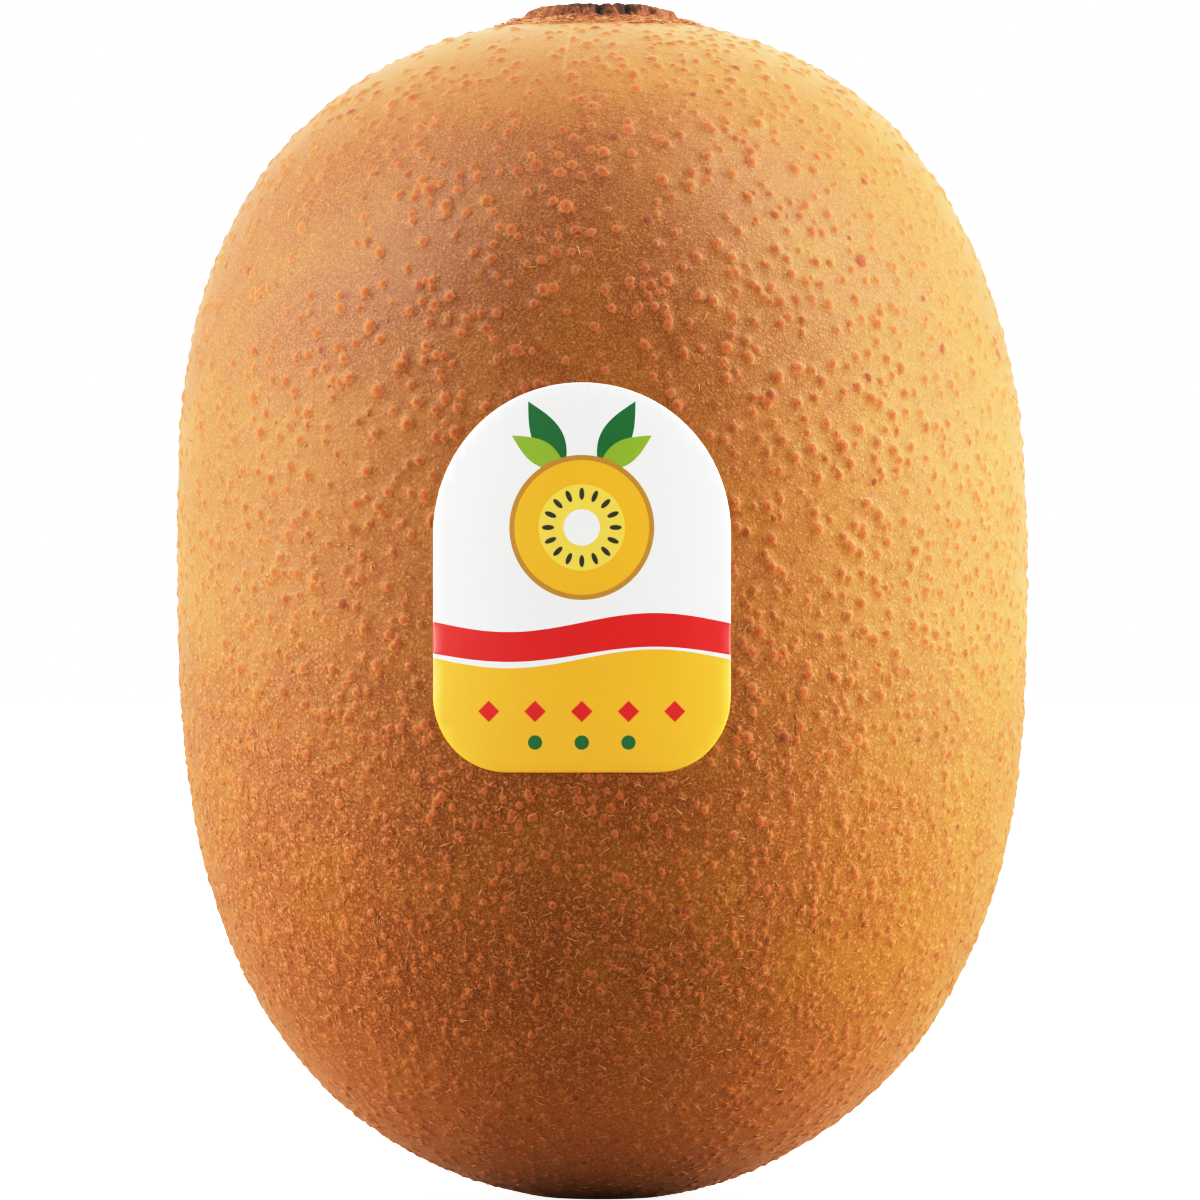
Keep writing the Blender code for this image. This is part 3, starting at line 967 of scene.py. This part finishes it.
def bare_skin(tree, skin, place, fine, middling, stubs):
    """Thin dry skin: gold on the sunny side, russet low down, speckled with worn down, with painted light
    at the top and at the blossom end.
    """
    across = add_node(tree, "SeparateXYZ", {0: place}, "X")
    height = add_node(tree, "SeparateXYZ", {0: place}, "Z")
    patches = add_node(tree, "TexNoise", {"Vector": place, "Scale": 1 / (9 * MM), "Detail": 3.0})
    drift = add_node(tree, "MapRange", {0: patches, 1: 0.35, 2: 0.7, 3: -0.2, 4: 0.4}, **SOFT)
    start, full = RUSSET_HEIGHTS[1] * MM, RUSSET_HEIGHTS[0] * MM
    low = add_node(tree, "MapRange", {0: height, 1: start, 2: full, 4: 0.85}, **SOFT)
    share = add_node(tree, "Math", {0: drift, 1: low}, operation="ADD", use_clamp=True)
    bare = add_node(tree, "Mix", {0: share, 6: skin.ground, 7: skin.russet}, MIXED, **COLOURS)
    patches = add_node(tree, "TexNoise", {"Vector": place, "Scale": 1 / (6 * MM), "Detail": 2.0})
    spread = add_node(tree, "MapRange", {0: patches, 1: 0.48, 2: 0.64, 4: 0.4}, **SOFT)
    sunny = add_node(tree, "MapRange", {0: across, 1: -2 * MM, 2: 18 * MM, 4: 0.7}, **SOFT)
    share = add_node(tree, "Math", {0: spread, 1: sunny}, operation="ADD", use_clamp=True)
    bare = add_node(tree, "Mix", {0: share, 6: bare, 7: skin.gold}, MIXED, **COLOURS)
    # Paler round the stalk scar, partly its own colour and partly painted light from above, and paler
    # round the waist; lighter and redder near the blossom end, where the change is painted light thrown up
    # from the floor
    pale_and_lit_crown = add_node(tree, "MapRange", {0: height, 1: 60 * MM, 2: 71.5 * MM, 4: 0.55}, **SOFT)
    waist = add_node(tree, "MapRange", {0: height, 1: 29 * MM, 2: 37 * MM, 4: 0.22}, **SOFT)
    above = add_node(tree, "MapRange", {0: height, 1: 52 * MM, 2: 45 * MM}, **SOFT)
    share = add_node(tree, "Math", {0: waist, 1: above, 2: pale_and_lit_crown}, operation="MULTIPLY_ADD")
    bare = add_node(tree, "Mix", {0: share, 6: bare, 7: skin.down}, MIXED, **COLOURS)
    # Painted light thrown up from the floor: the lowest skin is mixed lighter and redder
    redder_floor_lit_end = (height, 14 * MM, 1 * MM, 0.85, skin.cork_face)
    worn_down = (fine, 0.42, 0.7, 0.6, skin.down)
    dark_cells = (middling, 0.5, 0.3, 0.5, skin.cork_core)
    bare = layered(tree, bare, (redder_floor_lit_end, worn_down, dark_cells))
    # Low on the fruit more stubs of the down are left
    share = add_node(tree, "MapRange", {0: height, 1: 60 * MM, 2: 30 * MM, 3: 0.3}, **SOFT)
    share = add_node(tree, "Math", {0: stubs, 1: share}, operation="MULTIPLY")
    return add_node(tree, "Mix", {0: share, 6: bare, 7: skin.cork_rim}, MIXED, **COLOURS)


def corky_spots(tree, skin, reach, fine):
    """Dried cork: a paler edge, a redder face and a dark pore; a few spots have dried purplish brown."""
    tone = add_node(tree, "Attribute", {}, "Fac", attribute_name="spot_tone")
    face = (reach, 1.15, 0.75, 1.0, skin.cork_face)
    pore = (reach, 0.4, 0.1, 0.7, skin.cork_core)
    pale_cells = (fine, 0.4, 0.7, 0.4, skin.cork_rim)
    browner = (tone, 0.55, 0.95, 0.3, skin.cork_core)
    purplish = (tone, 0.98, 0.985, 0.7, skin.bruise)
    return layered(tree, skin.cork_rim, (face, pore, pale_cells, browner, purplish))


def scar_crust(tree, skin, crumbs):
    """Dried and torn stalk tissue: fibrous brown, almost black on its torn edge, which is partly painted
    shadow, with painted shade in its hollows, pit and dished ring.
    """
    pale_crumbs = (crumbs, 0.52, 0.68, 0.75, skin.cork_rim)
    dark_crumbs = (crumbs, 0.48, 0.34, 0.8, skin.scar_dark_and_shade)
    crust = layered(tree, skin.crust, (pale_crumbs, dark_crumbs))
    # Dark torn edge, partly painted shadow, and painted shade in the scar's hollows, pit and dished ring
    share = add_node(tree, "Attribute", {}, "Fac", attribute_name="scar_dark_and_shade")
    return add_node(tree, "Mix", {0: share, 6: crust, 7: skin.scar_dark_and_shade}, MIXED, **COLOURS)


def skin_material(skin):
    """Kiwi skin, grown dry and thin: satin between the specks of down, dull and corky on the spots."""
    sheen = {"Sheen_Weight": 0.1, "Sheen_Roughness": 0.5, "Sheen_Tint": linear("ffe0b0")}
    satin = {"IOR": 1.45, "Specular_IOR_Level": 0.12}
    material, tree, shader = new_material("kiwi_skin_corky_and_downy", **satin, **sheen)
    place = add_node(tree, "TexCoord", {}, "Object")
    # Skin cells, really about 0.05 mm, drawn 0.12 and 0.42 mm coarse so that they show
    grain = {"Vector": place, "Scale": 1 / (0.12 * MM), "Detail": 3.0, "Roughness": 0.65}
    fine = add_node(tree, "TexNoise", grain)
    grain = {"Vector": place, "Scale": 1 / (0.42 * MM), "Detail": 3.0, "Roughness": 0.6}
    middling = add_node(tree, "TexNoise", grain)
    # Worn stubs of the down, 0.3 mm apart, each with its own strength
    stubs = add_node(tree, "TexVoronoi", {"Vector": place, "Scale": 1 / (0.3 * MM)}, "Distance")
    strength = add_node(tree, "SeparateColor", {0: stubs.node.outputs["Color"]})
    strength = add_node(tree, "MapRange", {0: strength, 3: 0.1, 4: 0.8})
    stubs = add_node(tree, "MapRange", {0: stubs, 1: 0.46, 2: 0.16}, **SOFT)
    stubs = add_node(tree, "Math", {0: stubs, 1: strength}, operation="MULTIPLY")
    bare = bare_skin(tree, skin, place, fine, middling, stubs)

    # The edge of a spot is ragged by a share of its radius
    ragged = add_node(tree, "TexNoise", {"Vector": place, "Scale": 1 / (0.16 * MM), "Detail": 2.0})
    ragged = add_node(tree, "MapRange", {0: ragged, 1: 0.0, 2: 1.0, 3: -0.45, 4: 0.45})
    reach = add_node(tree, "Attribute", {}, "Fac", attribute_name="spot_reach")
    reach = add_node(tree, "Math", {0: reach, 1: ragged}, operation="ADD")
    on_spot = add_node(tree, "MapRange", {0: reach, 1: 1.2, 2: 0.95}, **SOFT)
    cork = corky_spots(tree, skin, reach, fine)
    surface = add_node(tree, "Mix", {0: on_spot, 6: bare, 7: cork}, MIXED, **COLOURS)
    ridge = add_node(tree, "Attribute", {}, "Fac", attribute_name="ridge")
    ridge = add_node(tree, "Math", {0: ridge, 1: 0.6}, operation="MULTIPLY")
    surface = add_node(tree, "Mix", {0: ridge, 6: surface, 7: skin.down}, MIXED, **COLOURS)

    grain = {"Vector": place, "Scale": 1 / (0.45 * MM), "Detail": 4.0, "Roughness": 0.7}
    crumbs = add_node(tree, "TexNoise", grain)
    crust = scar_crust(tree, skin, crumbs)
    on_crust = add_node(tree, "Attribute", {}, "Fac", attribute_name="crust")
    surface = add_node(tree, "Mix", {0: on_crust, 6: surface, 7: crust}, MIXED, **COLOURS)
    tree.links.new(surface, shader.inputs["Base Color"])

    dull = add_node(tree, "Math", {0: on_spot, 1: on_crust}, operation="MAXIMUM")
    satin = add_node(tree, "MapRange", {0: middling, 1: 0.3, 2: 0.7, 3: 0.42, 4: 0.56})
    roughness = add_node(tree, "Math", {0: dull, 1: 0.3, 2: satin}, operation="MULTIPLY_ADD")
    tree.links.new(roughness, shader.inputs["Roughness"])

    # The crust's crumbs stand three times as high as the skin's grain
    crumbly = add_node(tree, "Math", {0: on_crust, 1: crumbs}, operation="MULTIPLY")
    relief = add_node(tree, "Math", {0: crumbly, 1: 3.0, 2: fine}, operation="MULTIPLY_ADD")
    relief = add_node(tree, "Math", {0: stubs, 1: 0.7, 2: relief}, operation="MULTIPLY_ADD")
    bump = add_node(tree, "Bump", {"Height": relief, "Strength": 0.8, "Distance": 0.03 * MM})
    tree.links.new(bump, shader.inputs["Normal"])
    return material


def strand_material(name, root, tip):
    """Dry plant hair, dull and paler towards its thin tip."""
    material, tree, shader = new_material(name, IOR=1.5, Roughness=0.7, Specular_IOR_Level=0.2)
    reach = add_node(tree, "Attribute", {}, "Fac", attribute_name="strand_reach")
    tone = add_node(tree, "Attribute", {}, "Fac", attribute_name="strand_tone")
    shade = layered(tree, root, ((reach, -0.3, 0.7, 1.0, tip), (tone, 0.3, 1.0, 0.7, root)))
    tree.links.new(shade, shader.inputs["Base Color"])
    return material


def label_material():
    """Label paper, printed and varnished: even ink under a soft shine, with a faint fibre grain."""
    varnish = {"Coat_Weight": 0.2, "Coat_Roughness": 0.28, "Coat_IOR": 1.5}
    material, tree, shader = new_material("coated_label_paper_printed", IOR=1.5, **varnish)
    place = add_node(tree, "TexCoord", {}, "Object")
    # Paper fibres, really about 0.02 mm thick, drawn 0.15 mm coarse
    grain = {"Vector": place, "Scale": 1 / (0.15 * MM), "Detail": 3.0, "Roughness": 0.6}
    fibres = add_node(tree, "TexNoise", grain)
    ink = add_node(tree, "Attribute", {}, "Color", attribute_name="ink")
    cover = add_node(tree, "MapRange", {0: fibres, 1: 0.2, 2: 0.8, 3: 0.95, 4: 1.0}, **SOFT)
    shade = {0: 1.0, 6: ink, 7: cover}
    shade = add_node(tree, "Mix", shade, MIXED, blend_type="MULTIPLY", **COLOURS)
    tree.links.new(shade, shader.inputs["Base Color"])
    dullness = add_node(tree, "MapRange", {0: fibres, 1: 0.3, 2: 0.7, 3: 0.36, 4: 0.46}, **SOFT)
    tree.links.new(dullness, shader.inputs["Roughness"])
    waves = add_node(tree, "TexNoise", {"Vector": place, "Scale": 1 / (2.5 * MM), "Detail": 1.0})
    relief = add_node(tree, "Math", {0: fibres, 1: 0.25, 2: waves}, operation="MULTIPLY_ADD")
    bump = add_node(tree, "Bump", {"Height": relief, "Strength": 0.35, "Distance": 0.02 * MM})
    tree.links.new(bump, shader.inputs["Normal"])
    return material


def floor_material(settings):
    """Smooth matt board that looks evenly white, and throws back less light than it seems to."""
    material, tree, shader = new_material("matt_board", Roughness=0.9, Specular_IOR_Level=0.1)
    seen = add_node(tree, "LightPath", {}, "Is Camera Ray")
    shade = {0: seen, 6: linear(FLOOR_BOUNCE), 7: settings.floor}
    shade = add_node(tree, "Mix", shade, MIXED, **COLOURS)
    tree.links.new(shade, shader.inputs["Base Color"])
    tree.links.new(shade, shader.inputs["Emission Color"])
    glow = add_node(tree, "Math", {0: seen, 1: FLOOR_GLOW}, operation="MULTIPLY")
    tree.links.new(glow, shader.inputs["Emission Strength"])
    return material


# The stage

# The floor's colour for the light that it throws back, and how much it glows to the camera
FLOOR_BOUNCE = "989896"
FLOOR_GLOW = 1.3
FLOOR_SIZE = 6.0
# Width of the camera's film, and of the view at the fruit's middle, in millimetres
FILM_WIDTH = 36.0
VIEW_WIDTH = 72.4
# Lights that shape the fruit: side, azimuth and elevation in degrees, and share of the full power
SIDE_LIGHTS = ((-1, 88.0, 8.0, 0.84), (1, 88.0, 10.0, 1.0))
LIGHT_DISTANCE = 0.45
SIDE_SIZE = (0.46, 0.5)
# Lights that only shine back from the satin skin, high on both shoulders: side, azimuth and elevation
GLOSS_LIGHTS = ((-1, 62.0, 42.0), (1, 66.0, 47.0))
GLOSS_SIZE = (0.22, 0.34)
FRONT_GLOW = 0.03
# The way to the brightest part of the surroundings: behind the fruit and above it
GLOW_AXIS = (0.0, 0.8, 0.6)
BACK_GLOW = 2.7
# How far round from its brightest part the glow begins and ends, as cosines
GLOW_REACH = (0.0, 0.9)
# Scene light and how bright it is printed, between black and the light that prints as full white
FILM_WHITE = 2.2
FILM_CURVE = (
    (0.02, 0.007),
    (0.05, 0.022),
    (0.1, 0.054),
    (0.2, 0.138),
    (0.3, 0.24),
    (0.45, 0.405),
    (0.6, 0.56),
    (0.85, 0.76),
    (1.1, 0.87),
    (1.4, 0.945),
    (1.8, 0.985),
)


def aim(thing, target):
    direction = Vector(target) - thing.location
    thing.rotation_euler = direction.to_track_quat("-Z", "Y").to_euler()


def add_light(name, azimuth, elevation, size, power, lights_body):
    """A soft rectangular light: azimuth 0 stands at the camera, positive goes to the right."""
    lamp = bpy.data.lights.new(name, "AREA")
    lamp.shape, lamp.size, lamp.size_y, lamp.energy = "RECTANGLE", *size, power
    light = new_object(name, lamp)
    light.visible_diffuse = lights_body
    turn, climb = math.radians(azimuth), math.radians(elevation)
    flat = LIGHT_DISTANCE * math.cos(climb)
    middle = SHOULDER_HEIGHT / 2 * MM
    height = middle + LIGHT_DISTANCE * math.sin(climb)
    light.location = flat * math.sin(turn), -flat * math.cos(turn), height
    aim(light, (0, 0, middle))


def make_world():
    """Plain white to the eye; its light is strong from behind and above, and weak from the front."""
    world = bpy.data.worlds.new("studio")
    bpy.context.scene.world = world
    world.use_nodes = True
    tree = world.node_tree
    direction = add_node(tree, "TexCoord", {}, "Generated")
    facing = {0: direction, 1: GLOW_AXIS}
    facing = add_node(tree, "VectorMath", facing, "Value", operation="DOT_PRODUCT")
    glow = {0: facing, 1: GLOW_REACH[0], 2: GLOW_REACH[1], 3: FRONT_GLOW, 4: BACK_GLOW}
    glow = add_node(tree, "MapRange", glow, **SOFT)
    seen = add_node(tree, "LightPath", {}, "Is Camera Ray")
    strength = add_node(tree, "Mix", {0: seen, 2: glow, 3: FILM_WHITE})
    tree.links.new(strength, tree.nodes["Background"].inputs["Strength"])
    tree.nodes["Background"].inputs["Color"].default_value = linear("ffffff")


def make_camera(settings):
    camera = new_object("camera", bpy.data.cameras.new("camera"))
    camera.location = (0.0, -settings.camera_distance, settings.camera_height)
    camera.data.sensor_width = FILM_WIDTH
    camera.data.lens = FILM_WIDTH * settings.camera_distance / (VIEW_WIDTH * MM)
    camera.data.clip_start, camera.data.clip_end = 0.01, 50.0
    aim(camera, (0.0, 0.0, settings.camera_height))
    bpy.context.scene.camera = camera


def set_film(view):
    """Prints the light as film does: a little more contrast in the shadows, and soft highlights."""
    view.view_transform = "Standard"
    view.use_curve_mapping = True
    mapping = view.curve_mapping
    mapping.white_level = (FILM_WHITE,) * 3
    curve = mapping.curves[3]
    for light, shown in FILM_CURVE:
        curve.points.new(light / FILM_WHITE, shown)
    mapping.update()


def make_floor(settings):
    mesh = bpy.data.meshes.new("floor")
    half = FLOOR_SIZE / 2
    corners = [(-half, -half, 0), (half, -half, 0), (half, half, 0), (-half, half, 0)]
    mesh.from_pydata(corners, [], [(0, 1, 2, 3)])
    mesh.materials.append(floor_material(settings))
    new_object("floor", mesh)


# Operators, the panel and the run


class KiwiGrowSkin(bpy.types.Operator):
    """Grow the fruit's skin with its corky spots and its stalk scar"""

    bl_idname = "kiwi.grow_skin"
    bl_label = "Grow Skin"

    def execute(self, context):
        scene = context.scene
        mesh = make_skin(scene.kiwi_skin, scene.kiwi_label)
        piece = new_piece("kiwi_skin", mesh, skin_material(scene.kiwi_skin))
        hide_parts("kiwi_fruit")
        return {"FINISHED"}


class KiwiLayDown(bpy.types.Operator):
    """Lay the loose hairs on the skin and the dried fibres on both ends"""

    bl_idname = "kiwi.lay_down"
    bl_label = "Lay Down and Fibres"

    def execute(self, context):
        scene = context.scene
        skin = scene.kiwi_skin
        down = strand_material("kiwi_down_hair", skin.down, skin.fibre)
        new_piece("kiwi_down", make_hairs(skin, scene.kiwi_label), down)
        fibre = strand_material("dried_stalk_fibre", skin.cork_face, skin.fibre)
        new_piece("scar_fibres", make_fibres(), fibre)
        return {"FINISHED"}


class KiwiStickLabel(bpy.types.Operator):
    """Stick the printed label on the front of the skin"""

    bl_idname = "kiwi.stick_label"
    bl_label = "Stick Label"

    def execute(self, context):
        mesh = make_label_mesh(context.scene.kiwi_label)
        piece = new_piece("label_print", mesh, label_material())
        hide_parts("label")
        return {"FINISHED"}


class KiwiSetStage(bpy.types.Operator):
    """Set the floor, the lights and the camera"""

    bl_idname = "kiwi.set_stage"
    bl_label = "Set Stage"

    def execute(self, context):
        settings = context.scene.kiwi_stage
        make_floor(settings)
        make_world()
        for side, azimuth, elevation, share in SIDE_LIGHTS:
            power = share * settings.side_power
            add_light(f"side_light_{side}", side * azimuth, elevation, SIDE_SIZE, power, True)
        for side, azimuth, elevation in GLOSS_LIGHTS:
            power = settings.gloss_power
            add_light(f"gloss_light_{side}", side * azimuth, elevation, GLOSS_SIZE, power, False)
        make_camera(settings)
        set_film(context.scene.view_settings)
        return {"FINISHED"}


class KiwiPanel(bpy.types.Panel):
    """Settings and steps of the golden kiwi fruit"""

    bl_idname = "VIEW3D_PT_kiwi_fruit"
    bl_label = "Golden Kiwi Fruit"
    bl_space_type = "VIEW_3D"
    bl_region_type = "UI"
    bl_category = "Kiwi Fruit"

    def draw(self, context):
        for operator in OPERATORS:
            self.layout.operator(operator.bl_idname)
        for name, group in SETTINGS.items():
            box = self.layout.box()
            for key in group.__annotations__:
                box.prop(getattr(context.scene, name), key)


SETTINGS = {
    "kiwi_skin": KiwiSkinSettings,
    "kiwi_label": KiwiLabelSettings,
    "kiwi_stage": KiwiStageSettings,
}
OPERATORS = (KiwiGrowSkin, KiwiLayDown, KiwiStickLabel, KiwiSetStage)


def register():
    for group in SETTINGS.values():
        bpy.utils.register_class(group)
    for name, group in SETTINGS.items():
        setattr(bpy.types.Scene, name, PointerProperty(type=group))
    for shown in (*OPERATORS, KiwiPanel):
        bpy.utils.register_class(shown)


def unregister():
    for shown in (KiwiPanel, *reversed(OPERATORS)):
        bpy.utils.unregister_class(shown)
    for name in SETTINGS:
        delattr(bpy.types.Scene, name)
    for group in SETTINGS.values():
        bpy.utils.unregister_class(group)


def main():
    register()
    bpy.ops.kiwi.grow_skin()
    bpy.ops.kiwi.lay_down()
    bpy.ops.kiwi.stick_label()
    bpy.ops.kiwi.set_stage()


if __name__ == "__main__":
    main()
